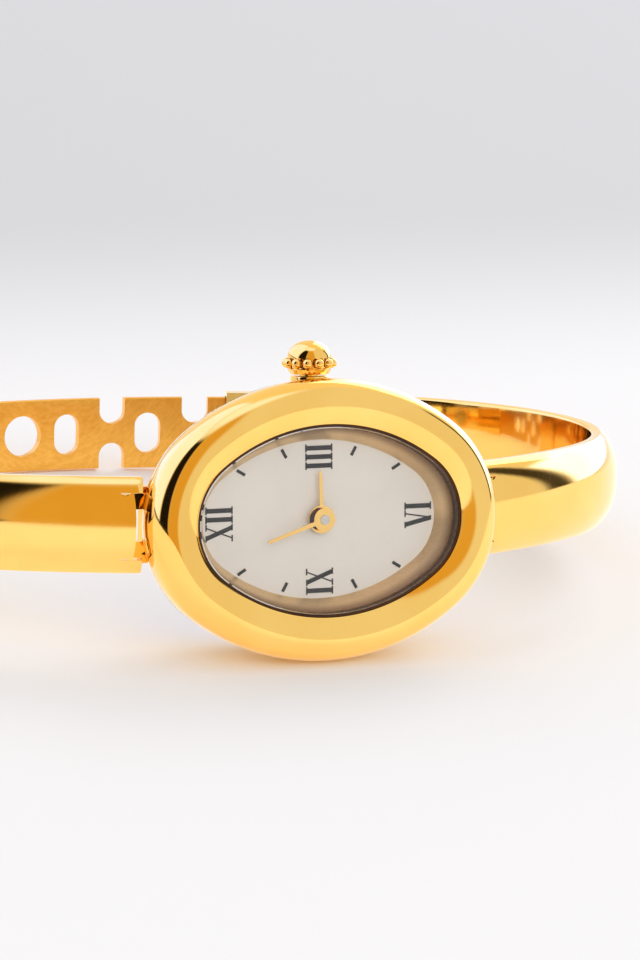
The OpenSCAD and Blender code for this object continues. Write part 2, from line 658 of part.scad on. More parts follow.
// A window is a slot across the strip with round ends.
module window(angle, y, len, w) {
  for (side = [-1, 1]) radial_rod(angle, y + side * (len - w) / 2, w / 2, strip_in - 1, strip_out + 1);
  at_back(angle) block([strip_in - 1, -w / 2, y - (len - w) / 2], [strip_out + 1, w / 2, y + (len - w) / 2]);
}
function window_angle(i) = (window_0 + window_pitch * i - (i > 0 ? window_step : 0)) / strip_out * 180 / PI;
module size_strip() color("goldenrod") lie_tilted() difference() {
  back_band(strip_in, strip_out, strip_w / 2, -gap_angle - 5, window_angle(3) + 2.6);
  radial_rod(window_angle(-2), 0, window_l / 2, strip_in - 1, strip_out + 1);
  for (i = [-1, 1, 3]) window(window_angle(i), 0, window_l, window_w);
  for (i = [0, 2]) for (side = [-1, 1])
    window(window_angle(i), side * strip_w / 2, window_l + 0.8, window_w);
  for (side = [-1, 1]) radial_rod(-gap_angle - 2.5, side * 1.3, 0.41, strip_in - 1, strip_out + 1);
}
module strip_rivets() color("gold") lie_tilted()
  for (side = [-1, 1]) radial_rod(-gap_angle - 2.5, side * 1.3, 0.4, ring_side_r - arm_t, ring_side_r - 0.3);

// Clasp: a channel on the end of the 6 o'clock arm takes the strip, and its cover presses it down.
module clasp_channel() color("gold") lie_tilted() {
  difference() {
    channel_bar();
    back_band(strip_in - strip_play, strip_out + slot_gap, strip_w / 2 + slot_gap, gap_angle - 1,
      clasp_hinge_angle - 1.6);
    back_band(ring_side_r - cover_t - slot_gap, reach, arm_w, gap_angle - 1, cover_end + 0.1);
    back_band(strip_out - 0.1, reach, rib_w + 0.3, gap_angle - 1, clasp_hinge_angle - 1);
    at_back(clasp_hinge_angle) translate([clasp_hinge_r, 0, 0]) {
      rod(knuckle_r + 0.08, -1.3, 1.3);
      rod(pin_r + 0.01, -3, 3);
      block([0, -1.5, -1.3], [knuckle_r + 1, knuckle_r + 0.08, 1.3]);
    }
  }
  difference() {
    back_band(tongue_in, tongue_out, 2.15, clasp_angle - overlap, clasp_angle + 2.9);
    clasp_rivet_rods(0.41);
  }
}
module clasp_rivet_rods(r)
  for (side = [-1, 1]) radial_rod(clasp_angle + 1.6, side * 1.2, r, ring_side_r - arm_t, tongue_out + 0.3);
module clasp_rivets() color("gold") lie_tilted() clasp_rivet_rods(0.4);
module clasp_cover() color("gold") lie_tilted() difference() {
  union() {
    intersection() {
      channel_bar();
      back_band(ring_side_r - cover_t, ring_side_r + 1, arm_w, gap_angle - 1, cover_end);
    }
    at_back(clasp_hinge_angle) translate([clasp_hinge_r, 0, 0]) {
      rod(knuckle_r, -1.2, 1.2);
      block([0.1, -1.2, -1.2], [knuckle_r, 0, 1.2]);
    }
    back_band(strip_out + fit, ring_side_r - 0.1, rib_w, gap_angle + 0.5, cover_end - 2);
  }
  at_back(clasp_hinge_angle) translate([clasp_hinge_r, 0, 0]) rod(pin_r + fit, -3, 3);
}
module clasp_pin() color("silver") lie_tilted()
  at_back(clasp_hinge_angle) translate([clasp_hinge_r, 0, 0]) rod(pin_r, -2.5, 2.5);

case_body();
bezel();
crystal();
crystal_gasket();
flange_ring();
dial();
roman_numerals();
hour_ticks();
hour_hand();
minute_hand();
hour_wheel();
cannon_pinion();
centre_wheel();
minute_wheel();
third_wheel();
rotor();
stator();
coil();
circuit_board();
quartz_can();
battery();
battery_clamp();
main_plate();
train_bridge();
bridge_screws();
movement_holder();
setting_slide();
winding_stem();
crown();
crown_beads();
crown_gasket();
crown_tube();
case_back();
back_gasket();
hinge_pin_12();
hinge_pin_6();
arm_12();
arm_6();
size_strip();
strip_rivets();
clasp_channel();
clasp_rivets();
clasp_cover();
clasp_pin();
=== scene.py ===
"""Looks of the oval bangle watch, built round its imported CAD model.

Pieces are drawn in millimetres in the watch's own directions: X runs to 6 o'clock, Y to the crown
and Z out of the dial, with zero on the dial. The matrix LIE then lays them down as the CAD does.
"""

import json
import math

import bmesh
import bpy
from mathutils import Matrix, Vector

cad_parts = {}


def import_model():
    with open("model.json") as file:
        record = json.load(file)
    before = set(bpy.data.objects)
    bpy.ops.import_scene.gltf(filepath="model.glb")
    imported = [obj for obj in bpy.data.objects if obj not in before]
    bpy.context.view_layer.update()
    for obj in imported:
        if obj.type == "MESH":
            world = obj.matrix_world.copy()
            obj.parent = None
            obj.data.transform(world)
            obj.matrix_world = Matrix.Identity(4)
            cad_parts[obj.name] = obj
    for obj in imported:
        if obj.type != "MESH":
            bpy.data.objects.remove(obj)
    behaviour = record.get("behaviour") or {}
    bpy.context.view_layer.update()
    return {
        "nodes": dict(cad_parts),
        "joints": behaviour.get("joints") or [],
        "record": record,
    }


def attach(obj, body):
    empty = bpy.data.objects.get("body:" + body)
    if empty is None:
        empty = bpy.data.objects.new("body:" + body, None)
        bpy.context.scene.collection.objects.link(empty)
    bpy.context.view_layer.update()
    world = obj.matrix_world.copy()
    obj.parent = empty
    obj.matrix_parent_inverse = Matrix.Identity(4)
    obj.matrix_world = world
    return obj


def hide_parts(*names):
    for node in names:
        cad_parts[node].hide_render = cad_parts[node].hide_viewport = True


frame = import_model()
NODES = frame["nodes"]
JOINTS = {joint["name"]: joint for joint in frame["joints"]}

# Case, in millimetres
OPENING_L, OPENING_W = 19, 12.6
RIM_W, OPENING_H, CREST_H, SHOULDER_R = 2.95, 2.15, 0.45, 1.6
RIM_LIP, RIM_SEAM = 0.05, 0.15
RIM_FOOT_OUT, RIM_FOOT_IN, RIM_FOOT_H = 0.75, 0.32, 0.4
CASE_DEPTH, TUCK = 3.4, 1.95
STEM_DEPTH = 1
# Crystal, its ring and the flange
CRYSTAL_T, CRYSTAL_SUNK, CRYSTAL_GAP, CRYSTAL_BEVEL = 0.95, 0.04, 0.02, 0.08
GASKET_W, GASKET_OVERLAP = 0.14, 0.05
FLANGE_W, FLANGE_TOP_W, FLANGE_EDGE, SEAT_GAP = 1.1, 0.3, 0.05, 0.02
# Crown
CROWN_R, CROWN_LEN, CROWN_BORE_R, CROWN_GAP = 1.45, 2.2, 0.86, 0.1
BEADS, BEAD_R, BEAD_OUT, SKIRT_H, SKIRT_IN = 12, 0.34, 0.02, 0.38, 0.22
COLLAR_R, COLLAR_H, COLLAR_SUNK, COLLAR_EDGE = 1.27, 0.42, 0.8, 0.08
TUBE_R, TUBE_BORE_R, TUBE_IN, TUBE_OUT = 0.65, 0.36, 0.4, 0.75
# Bangle
BANGLE_L, BANGLE_W, BANGLE_FRONT = 62.6, 47, 1.9
ARM_T, ARM_W, ARM_END_W, ARM_CROWN, GAP_ANGLE, CLASP_ANGLE = 1.9, 6.3, 5.9, 1.1, 19.5, 30
ARM_SOFT, ARM_SHOULDER, ARM_BEVEL, DOME_POWER = 0.22, 0.1, 0.07, 2.6
HINGE_X, HINGE_DEPTH, FORK_W, FORK_GAP = 13.1, 1.45, 4.4, 0.08
KNUCKLE_R, KNUCKLE_HALF, KNUCKLE_EDGE, PIN_R = 0.6, 1, 0.08, 0.33
LINK_START, LINK_REACH, LINK_HALF_T = 0.3, 0.45, 0.5
STRIP_W, STRIP_T, STRIP_INSET, STRIP_SOFT, STRIP_BEVEL = 5.1, 0.6, 0.95, 0.12, 0.06
# Degrees of the strip inside the 12 o'clock arm, and past the last window
STRIP_HELD, STRIP_PAST = 5, 2.6
# How deep a window's cutter goes into the strip, and how far it stands out
CUT_IN, CUT_OUT = 1.5, 1
WINDOW_0, WINDOW_PITCH, WINDOW_STEP, WINDOW_W, WINDOW_L, NOTCH_MORE = 4.5, 3.5, 0.8, 1.9, 2.9, 0.8

# Lengths that follow, as in the CAD source. The opening and the bangle are ovals of four arcs, their
# centres 3 units out along the long way and 4 along the short one, so that the arcs meet at STEEP.
UNIT = (OPENING_L - OPENING_W) / 4
END_R = OPENING_L / 2 - 3 * UNIT
CREST_Z = OPENING_H + CREST_H
SHOULDER_O, SHOULDER_Z = RIM_W - SHOULDER_R, CREST_Z - SHOULDER_R
SLOPE_R = (SHOULDER_O**2 + CREST_H**2) / (2 * CREST_H)
WALL_DROP = SHOULDER_Z + CASE_DEPTH
WALL_R = (TUCK**2 + WALL_DROP**2) / (2 * TUCK)
WALL_Y = OPENING_W / 2 + RIM_W - WALL_R + math.sqrt(WALL_R**2 - (SHOULDER_Z + STEM_DEPTH) ** 2)
CRYSTAL_Z = OPENING_H - CRYSTAL_SUNK - CRYSTAL_T
CRYSTAL_TOP = CRYSTAL_Z + CRYSTAL_T
COLLAR_TOP = WALL_Y + COLLAR_H
CROWN_BASE = COLLAR_TOP + CROWN_GAP
BANGLE_UNIT = (BANGLE_L - BANGLE_W) / 4
RING_Z = BANGLE_FRONT - BANGLE_W / 2
RING_C, RING_D = 3 * BANGLE_UNIT, 4 * BANGLE_UNIT
RING_SIDE_R = BANGLE_W / 2 + RING_D
FRONT_CENTRE, BACK_CENTRE = (0, 0, RING_Z - RING_D), (0, 0, RING_Z + RING_D)
ARM_END_Z = RING_Z + RING_D - RING_SIDE_R * math.cos(math.radians(GAP_ANGLE))
CHEEK_X, SKIN_X = HINGE_X - 0.75, HINGE_X - 0.3
STRIP_OUT = RING_SIDE_R - STRIP_INSET
STEEP = math.degrees(math.atan2(4, 3))

# The watch's own directions, from the axes of its hands and its crown.
MM = 0.001
DIAL_OUT = -Vector(JOINTS["minute_spin"]["axis"])
CROWN_WAY = Vector(JOINTS["crown_pull"]["axis"])
ACROSS_WATCH = CROWN_WAY.cross(DIAL_OUT)
LIE = Matrix((ACROSS_WATCH, CROWN_WAY, DIAL_OUT)).transposed().to_4x4()
LIE.translation = Vector(JOINTS["minute_spin"]["pos_m"])
LIE = LIE @ Matrix.Scale(MM, 4)

# The bangle's directions, from its hinge pins: it tilts about them against the case.
PINS = [Vector(JOINTS[name]["pos_m"]) for name in ("arm_6_hinge", "arm_12_hinge")]
BAND_WAY = -Vector(JOINTS["arm_6_hinge"]["axis"])
LIE_BAND = Matrix((ACROSS_WATCH, BAND_WAY, ACROSS_WATCH.cross(BAND_WAY))).transposed().to_4x4()
LIE_BAND.translation = (PINS[0] + PINS[1]) / 2
LIE_BAND = LIE_BAND @ Matrix.Scale(MM, 4) @ Matrix.Translation((0, 0, HINGE_DEPTH))


# Node trees


class Val:
    """One output of a node, with arithmetic that adds Math nodes."""

    def __init__(self, look, socket):
        self.look, self.socket = look, socket

    def __add__(self, other):
        return self.look.calc("ADD", self, other)

    def __sub__(self, other):
        return self.look.calc("SUBTRACT", self, other)

    def __rsub__(self, other):
        return self.look.calc("SUBTRACT", other, self)

    def __mul__(self, other):
        return self.look.calc("MULTIPLY", self, other)

    __radd__ = __add__
    __rmul__ = __mul__

    def ramp(self, low, high, to_low=0.0, to_high=1.0):
        """A smooth step from low to high."""
        values = {"Value": self, "From Min": low, "From Max": high, "To Min": to_low, "To Max": to_high}
        return self.look.node("ShaderNodeMapRange", values, interpolation_type="SMOOTHSTEP")

    def within(self, low, high, soft):
        """One between low and high, with soft edges, and nought outside."""
        return self.ramp(low - soft, low + soft) * (1.0 - self.ramp(high - soft, high + soft))


class Look:
    """A node tree under construction: a material, or the world."""

    def __init__(self, name, owner=None):
        self.owner = owner or bpy.data.materials.new(name)
        self.owner.use_nodes = True
        self.tree = self.owner.node_tree
        self.tree.nodes.clear()
        self.place = None

    def node(self, kind, values=None, out=0, **settings):
        """A node with its settings, and the values or links of its sockets."""
        made = self.tree.nodes.new(kind)
        for name, setting in settings.items():
            setattr(made, name, setting)
        for name, value in (values or {}).items():
            if isinstance(value, Val):
                self.tree.links.new(value.socket, made.inputs[name])
            else:
                made.inputs[name].default_value = value
        return Val(self, made.outputs[out])

    def calc(self, kind, first, second=0.0):
        """A Math node on numbers or outputs."""
        return self.node("ShaderNodeMath", {0: first, 1: second}, operation=kind)

    def object_place(self):
        """The piece's own coordinates, from one shared node."""
        if self.place is None:
            self.place = self.node("ShaderNodeTexCoord", out="Object")
        return self.place

    def noise(self, scale, detail=2.0, stretch=None, roughness=0.5):
        """Noise on the piece's own coordinates, scale in features per metre."""
        place = self.object_place()
        if stretch:
            place = self.node("ShaderNodeMapping", {"Vector": place, "Scale": stretch})
        values = {"Vector": place, "Scale": scale, "Detail": detail, "Roughness": roughness}
        return self.node("ShaderNodeTexNoise", values)

    def blend(self, share, low, high):
        """A colour between two colours."""
        values = {0: share, 6: low, 7: high}
        return self.node("ShaderNodeMix", values, out=2, data_type="RGBA")

    def relief(self, height, strength):
        """A normal bent by fine marks, two hundredths of a millimetre deep at full strength."""
        values = {"Height": height, "Strength": strength, "Distance": 0.02 * MM}
        return self.node("ShaderNodeBump", values)

    def mirrored(self):
        """One for what a polished surface mirrors, and nought for any other ray."""
        return self.node("ShaderNodeLightPath", out="Is Glossy Ray")

    def surface(self, values):
        """A Principled shader."""
        return self.node("ShaderNodeBsdfPrincipled", values)

    def finish(self, shader, kind="ShaderNodeOutputMaterial"):
        """Puts the shader on the tree's output, and gives the finished material or world."""
        end = self.tree.nodes.new(kind)
        self.tree.links.new(shader.socket, end.inputs["Surface"])
        return self.owner


def rgb(red, green, blue):
    """An opaque colour for a node's socket."""
    return (red, green, blue, 1.0)


def polished(name, pale, deep, smooth=0.05, rough=0.11):
    """Polished plate: two close tones, a faint haze, and hairlines from wiping."""
    look = Look(name)
    haze = look.noise(170, 3.0)
    wipes = look.noise(900, 3.0, stretch=(1.0, 6.0, 1.5))
    dust = look.noise(2600, 2.0).ramp(0.62, 0.75)
    values = {
        "Base Color": look.blend(haze.ramp(0.3, 0.7), rgb(*deep), rgb(*pale)),
        "Metallic": 1.0,
        "Roughness": haze.ramp(0.3, 0.75, smooth, rough) + dust * 0.03,
        "Normal": look.relief(wipes, 0.04),
    }
    return look.finish(look.surface(values))


def brushed(name, pale, deep, along, rough=0.24):
    """Brushed metal: long fine lines, stretched by the mapping along."""
    look = Look(name)
    lines = look.noise(1500, 4.0, stretch=along, roughness=0.7)
    haze = look.noise(150, 2.0)
    values = {
        "Base Color": look.blend(lines.ramp(0.35, 0.65), rgb(*deep), rgb(*pale)),
        "Metallic": 1.0,
        "Roughness": lines * 0.12 + haze * 0.08 + (rough - 0.1),
        "Normal": look.relief(lines, 0.25),
    }
    return look.finish(look.surface(values))


def moulded(name, pale, deep, rough=0.5, coat=0.0, grain=3000, depth=0.15, shine=0.5):
    """Lacquer, plastic or rubber with a fine grain."""
    look = Look(name)
    cloud = look.noise(250, 3.0)
    grains = look.noise(grain, 2.0)
    values = {
        "Base Color": look.blend(cloud.ramp(0.3, 0.7), rgb(*deep), rgb(*pale)),
        "Roughness": grains.ramp(0.3, 0.7, rough - 0.06, rough + 0.06),
        "Specular IOR Level": shine,
        "Coat Weight": coat,
        "Normal": look.relief(grains, depth),
    }
    return look.finish(look.surface(values))


def satin_with_painted_shade(name):
    """Satin champagne with painted shade: darker brown towards the glass, for shade and the gasket's
    reflection.
    """
    look = Look(name)
    lines = look.noise(1500, 4.0, stretch=(2.0, 2.0, 12.0), roughness=0.7)
    ways = {0: look.object_place(), 1: DIAL_OUT}
    along_dial_out = look.node("ShaderNodeVectorMath", ways, out=1, operation="DOT_PRODUCT")
    over_dial = along_dial_out - LIE.translation.dot(DIAL_OUT)
    satin = look.blend(lines.ramp(0.35, 0.65), rgb(0.76, 0.54, 0.27), rgb(0.84, 0.62, 0.34))
    values = {
        # Painted shade and painted reflection: the slope turns dark brown as it nears the glass.
        "Base Color": look.blend(over_dial.ramp(0.5 * MM, 1.15 * MM), satin, rgb(0.32, 0.17, 0.06)),
        "Metallic": 1.0,
        "Roughness": lines * 0.12 + 0.32,
        "Normal": look.relief(lines, 0.25),
    }
    return look.finish(look.surface(values))


def clear_glass(name):
    """Clear crystal that lets lamps through to the dial."""
    look = Look(name)
    smear = look.noise(120, 3.0)
    glass = look.surface({
        "Base Color": rgb(1.0, 1.0, 1.0),
        "Roughness": smear.ramp(0.4, 0.8, 0.0, 0.03),
        "Transmission Weight": 1.0,
        "Specular IOR Level": 0.2,
        "IOR": 1.45,
    })
    light = look.node("ShaderNodeBsdfTransparent", {"Color": rgb(1.0, 1.0, 1.0)})
    lamp_rays = look.node("ShaderNodeLightPath", out="Is Shadow Ray")
    return look.finish(look.node("ShaderNodeMixShader", {0: lamp_rays, 1: glass, 2: light}))


# Each finish has its pale colour and its deep one, then the stretch of its lines where it is brushed.
FINISH = {
    "polished_gold": polished("polished_gold", (0.955, 0.63, 0.185), (0.93, 0.575, 0.145)),
    "strip_gold": brushed("strip_gold", (0.87, 0.46, 0.09), (0.78, 0.38, 0.06), (1.0, 14.0, 1.0), rough=0.3),
    "crystal_glass": clear_glass("crystal_glass"),
    "brown_gasket": moulded("brown_gasket", (0.07, 0.026, 0.008), (0.04, 0.014, 0.005), rough=0.4, shine=0.2),
    "flange_beige": satin_with_painted_shade("flange_beige"),
    "dial_white": moulded("dial_white", (0.89, 0.87, 0.845), (0.86, 0.84, 0.815), grain=6500, depth=0.3),
    "black_ink": moulded("black_ink", (0.008, 0.008, 0.014), (0.004, 0.004, 0.008), shine=0.15),
    "hand_gold": polished("hand_gold", (0.95, 0.62, 0.2), (0.9, 0.55, 0.15)),
    "wheel_brass": brushed("wheel_brass", (0.80, 0.58, 0.25), (0.70, 0.48, 0.18), (6.0, 1.0, 1.0)),
    "steel": polished("steel", (0.60, 0.59, 0.57), (0.52, 0.51, 0.50), smooth=0.12, rough=0.2),
    "plate_steel": brushed("plate_steel", (0.62, 0.61, 0.60), (0.52, 0.51, 0.50), (1.0, 12.0, 1.0)),
    "blued_steel": brushed("blued_steel", (0.10, 0.16, 0.33), (0.06, 0.10, 0.24), (4.0, 1.0, 1.0)),
    "motor_iron": brushed("motor_iron", (0.30, 0.32, 0.36), (0.22, 0.24, 0.28), (3.0, 1.0, 3.0), rough=0.4),
    "coil_copper": brushed("coil_copper", (0.62, 0.26, 0.10), (0.45, 0.17, 0.06), (1.0, 20.0, 1.0)),
    "circuit_green": moulded("circuit_green", (0.03, 0.16, 0.06), (0.015, 0.11, 0.04), rough=0.35, coat=0.3),
    "holder_ivory": moulded("holder_ivory", (0.80, 0.76, 0.64), (0.74, 0.69, 0.57), rough=0.45),
    "black_rubber": moulded("black_rubber", (0.015, 0.015, 0.015), (0.008, 0.008, 0.008), rough=0.6),
}
for row in frame["record"]["subparts"]:
    mesh = NODES[row["node"]].data
    mesh.materials.clear()
    mesh.materials.append(FINISH[row["material_slot"]])


# Shapes

CREASE = math.radians(32)
WELD, FINE_WELD = 0.002, 0.0005
END_STEPS, SIDE_STEPS = 84, 66
# Outlines are drawn anticlockwise about PLANE_AXIS; ACROSS lays their z along the watch's y.
UP_AXIS, PLANE_AXIS = (0, 0, 1), (0, -1, 0)
ACROSS = Matrix.Rotation(-math.pi / 2, 4, "X")


class Outline:
    """A line drawn point by point, x outwards and z upwards, that a sweep then turns into a surface."""

    def __init__(self, x, z):
        self.bm = bmesh.new()
        self.first = self.last = self.bm.verts.new((x, 0, z))

    def to(self, x, z):
        """Draws on to a point."""
        new = self.bm.verts.new((x, 0, z))
        self.bm.edges.new((self.last, new))
        self.last = new
        return self

    def arc(self, x, z, degrees, steps):
        """Turns the last point round (x, z); positive is anticlockwise."""
        angle = math.radians(degrees)
        made = bmesh.ops.spin(
            self.bm, geom=[self.last], cent=(x, 0, z), axis=PLANE_AXIS, angle=angle, steps=steps
        )
        self.last = made["geom_last"][0]
        return self

    def close(self):
        """Joins the last point to the first."""
        self.bm.edges.new((self.last, self.first))
        return self

    def sweep(self, start, turns):
        """Puts the outline where start says, and spins it through each (centre, axis, degrees, steps)."""
        bm = self.bm
        bm.transform(start)
        edges = bm.edges[:]
        rings = [edges]
        for centre, axis, degrees, steps in turns:
            angle = math.radians(degrees)
            made = bmesh.ops.spin(bm, geom=edges, cent=centre, axis=axis, angle=angle, steps=steps)
            edges = [part for part in made["geom_last"] if isinstance(part, bmesh.types.BMEdge)]
            rings.append(edges)
        return rings

    def turn(self, steps):
        """Spins the outline once round its own z axis."""
        bmesh.ops.spin(
            self.bm, geom=self.bm.edges[:], axis=UP_AXIS, angle=math.tau, steps=steps, use_merge=True
        )
        return self.bm


def round_case(outline):
    """Sweeps an outline once round the opening, through the case's four arcs."""
    turns = []
    for side in (1, -1):
        turns.append(((side * 3 * UNIT, 0, 0), UP_AXIS, 2 * STEEP, END_STEPS))
        turns.append(((0, -side * 4 * UNIT, 0), UP_AXIS, 180 - 2 * STEEP, SIDE_STEPS))
    start = Matrix.Translation((3 * UNIT, 0, 0)) @ Matrix.Rotation(-math.radians(STEEP), 4, "Z")
    outline.sweep(start @ Matrix.Translation((END_R, 0, 0)), turns)
    return outline.bm


def placed(bm, matrix):
    """The same mesh, moved by a matrix."""
    bm.transform(matrix)
    return bm


def piece(name, bm, body, stands_for, slot, frame_of=LIE):
    """Closes a mesh in millimetres, lays it in the row frame and hands it to its body."""
    bmesh.ops.remove_doubles(bm, verts=bm.verts, dist=WELD)
    bmesh.ops.recalc_face_normals(bm, faces=bm.faces)
    for face in bm.faces:
        face.smooth = True
    for edge in bm.edges:
        if len(edge.link_faces) == 2 and edge.calc_face_angle() > CREASE:
            edge.smooth = False
    bm.transform(frame_of)
    mesh = bpy.data.meshes.new(name)
    bm.to_mesh(mesh)
    bm.free()
    made = bpy.data.objects.new(name, mesh)
    bpy.context.scene.collection.objects.link(made)
    mesh.materials.append(FINISH[slot])
    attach(made, body)
    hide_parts(*stands_for)


def rim():
    """Bezel: opening edge, crest, rounded shoulder and upper wall."""
    slope_start = 180 - math.degrees(math.acos(SHOULDER_O / SLOPE_R))
    line = Outline(0, -RIM_SEAM).to(0, OPENING_H - RIM_LIP)
    line.to(0.02, OPENING_H)
    line.arc(SHOULDER_O, CREST_Z - SLOPE_R, 90 - slope_start + 1.0, 10)
    line.arc(SHOULDER_O, SHOULDER_Z, -90, 26)
    seam_turn = math.degrees(math.asin((SHOULDER_Z + RIM_SEAM) / WALL_R))
    line.arc(RIM_W - WALL_R, SHOULDER_Z, -seam_turn, 5)
    foot = -RIM_SEAM - RIM_FOOT_H
    line.to(RIM_FOOT_OUT, -RIM_SEAM).to(RIM_FOOT_OUT, foot)
    line.to(RIM_FOOT_IN, foot).to(RIM_FOOT_IN, -RIM_SEAM)
    return round_case(line.close())


piece("bezel_rim", rim(), "case", ["bezel"], "polished_gold")


# Solids cut out of others


def slab(low, high, bevel=0.0):
    """A box between two corners, its edges bevelled if asked."""
    bm = bmesh.new()
    bmesh.ops.create_cube(bm, size=1)
    size = Vector(high) - Vector(low)
    bmesh.ops.scale(bm, vec=size, verts=bm.verts)
    bmesh.ops.translate(bm, vec=(Vector(low) + Vector(high)) / 2, verts=bm.verts)
    if bevel:
        edges = bm.edges[:]
        bmesh.ops.bevel(bm, geom=edges, offset=bevel, segments=3, profile=0.5, affect="EDGES", material=-1)
    return bm


def stadium(width, length, low, high):
    """A slot's solid: its axis along z, its long way along y, a rod where length equals width."""
    bm = bmesh.new()
    made = bmesh.ops.create_circle(bm, cap_ends=True, segments=40, radius=width / 2)
    for vert in made["verts"]:
        vert.co.y += math.copysign((length - width) / 2, vert.co.y)
        vert.co.z = low
    grown = bmesh.ops.extrude_face_region(bm, geom=bm.faces[:])
    tops = [part for part in grown["geom"] if isinstance(part, bmesh.types.BMVert)]
    bmesh.ops.translate(bm, vec=(0, 0, high - low), verts=tops)
    bmesh.ops.recalc_face_normals(bm, faces=bm.faces)
    return bm


def shown_apart(bm):
    """A passing object that holds a mesh while it is cut."""
    mesh = bpy.data.meshes.new("passing")
    bm.to_mesh(mesh)
    bm.free()
    made = bpy.data.objects.new("passing", mesh)
    bpy.context.scene.collection.objects.link(made)
    return made


def carved(bm, tools):
    """The mesh with every tool's solid taken away."""
    bmesh.ops.recalc_face_normals(bm, faces=bm.faces)
    work = shown_apart(bm)
    passing = [work]
    for tool in tools:
        passing.append(shown_apart(tool))
        cut = work.modifiers.new("cut", "BOOLEAN")
        cut.operation, cut.solver, cut.object = "DIFFERENCE", "EXACT", passing[-1]
    left = bmesh.new()
    left.from_object(work, bpy.context.evaluated_depsgraph_get())
    for made in passing:
        mesh = made.data
        bpy.data.objects.remove(made)
        bpy.data.meshes.remove(mesh)
    return left


# Bangle, drawn in its own plane: x towards 6 o'clock, z out of the dial, y across the arms


def ring_start(centre, radius, degrees):
    """Where an outline starts on an arc of the bangle, x outwards and its z across."""
    turn = Matrix.Rotation(math.radians(degrees), 4, PLANE_AXIS)
    return Matrix.Translation(centre) @ turn @ Matrix.Translation((radius, 0, 0)) @ ACROSS


def at_back(angle, radius, sideways):
    """Local z outwards and y across, at an angle round the back of the bangle."""
    turn = Matrix.Rotation(math.radians(180 - angle), 4, "Y")
    return Matrix.Translation(BACK_CENTRE) @ turn @ Matrix.Translation((0, sideways, radius))


def close_ends(bm, rings, bevel):
    """Caps the first and last ring of a sweep, and bevels their edges."""
    for ring in (rings[0], rings[-1]):
        bmesh.ops.contextual_create(bm, geom=ring)
    edges = [edge for ring in (rings[0], rings[-1]) for edge in ring]
    bmesh.ops.bevel(bm, geom=edges, offset=bevel, segments=2, profile=0.5, affect="EDGES", material=-1)


def arm_outline():
    """Section of an arm: domed outside, soft edges, flat inside."""
    rows, half, soft = 14, ARM_W / 2, ARM_SOFT
    shares = [row / rows for row in range(-rows, rows + 1)]
    rise = [(-ARM_CROWN * abs(share) ** DOME_POWER, half * share) for share in shares]
    for edge in (0, -1):
        rise[edge] = (rise[edge][0] - ARM_SHOULDER, rise[edge][1])
    line = Outline(*rise[0])
    for out, across in rise[1:]:
        line.to(out, across)
    line.to(soft - ARM_T, half).arc(soft - ARM_T, half - soft, 90, 5)
    line.to(-ARM_T, soft - half).arc(soft - ARM_T, soft - half, 90, 5)
    return line.close()


def arm(side, end):
    """An arm from its hinge round to an angle at the back; side is 1 towards 6 o'clock."""
    line = arm_outline()
    start = math.degrees(math.acos(CHEEK_X / RING_SIDE_R))
    turns = [
        (FRONT_CENTRE, PLANE_AXIS, STEEP - start, 26),
        ((RING_C, 0, RING_Z), PLANE_AXIS, -2 * STEEP, 90),
        (BACK_CENTRE, PLANE_AXIS, end + STEEP - 90, 24),
    ]
    rings = line.sweep(ring_start(FRONT_CENTRE, RING_SIDE_R, start), turns)
    bm = line.bm
    close_ends(bm, rings, ARM_BEVEL)
    bmesh.ops.remove_doubles(bm, verts=bm.verts, dist=FINE_WELD)
    for vert in bm.verts:
        share = min(max(vert.co.z / ARM_END_Z, 0), 1)
        vert.co.y *= 1 + (ARM_END_W / ARM_W - 1) * share
    # The fork: room for the knuckle, a skin in front of it that ends short of the cheeks, and the bore.
    half, pin, bore = FORK_W / 2, -HINGE_DEPTH, KNUCKLE_R + FORK_GAP
    before, beyond = CHEEK_X - 1, 3
    tools = [
        slab((before, -half, pin - beyond), (HINGE_X, half, pin + bore)),
        slab((before, -half, pin - beyond), (SKIN_X, half, beyond)),
        placed(stadium(2 * bore, 2 * bore, -half, half), Matrix.Translation((HINGE_X, 0, pin)) @ ACROSS),
    ]
    bm = carved(bm, tools)
    if side < 0:
        bmesh.ops.scale(bm, vec=(-1, 1, 1), verts=bm.verts)
    return bm


def knuckle(side):
    """The barrel that turns on the hinge pin, with the link that joins it to its arm."""
    half, radius, edge = KNUCKLE_HALF, KNUCKLE_R, KNUCKLE_EDGE
    line = Outline(PIN_R, -half).to(radius - edge, -half).to(radius, edge - half)
    line.to(radius, half - edge).to(radius - edge, half).to(PIN_R, half).close()
    barrel = placed(line.turn(40), ACROSS)
    link = slab((LINK_START, -half, -LINK_HALF_T), (radius + LINK_REACH, half, LINK_HALF_T), edge)
    mesh = bpy.data.meshes.new("passing")
    link.to_mesh(mesh)
    link.free()
    barrel.from_mesh(mesh)
    bpy.data.meshes.remove(mesh)
    barrel.transform(Matrix.Translation((side * HINGE_X, 0, -HINGE_DEPTH)) @ Matrix.Scale(side, 4, (1, 0, 0)))
    return barrel


for name, side, end in (("arm_12", -1, GAP_ANGLE), ("arm_6", 1, CLASP_ANGLE)):
    piece(name + "_bar", arm(side, end), name, [name], "polished_gold", frame_of=LIE_BAND)
    piece(name + "_knuckle", knuckle(side), name, [name], "polished_gold", frame_of=LIE_BAND)


def window_angle(place):
    """Where a window is, in degrees round the back; the later ones sit closer."""
    along = WINDOW_0 + WINDOW_PITCH * place - (WINDOW_STEP if place > 0 else 0)
    return math.degrees(along / STRIP_OUT)


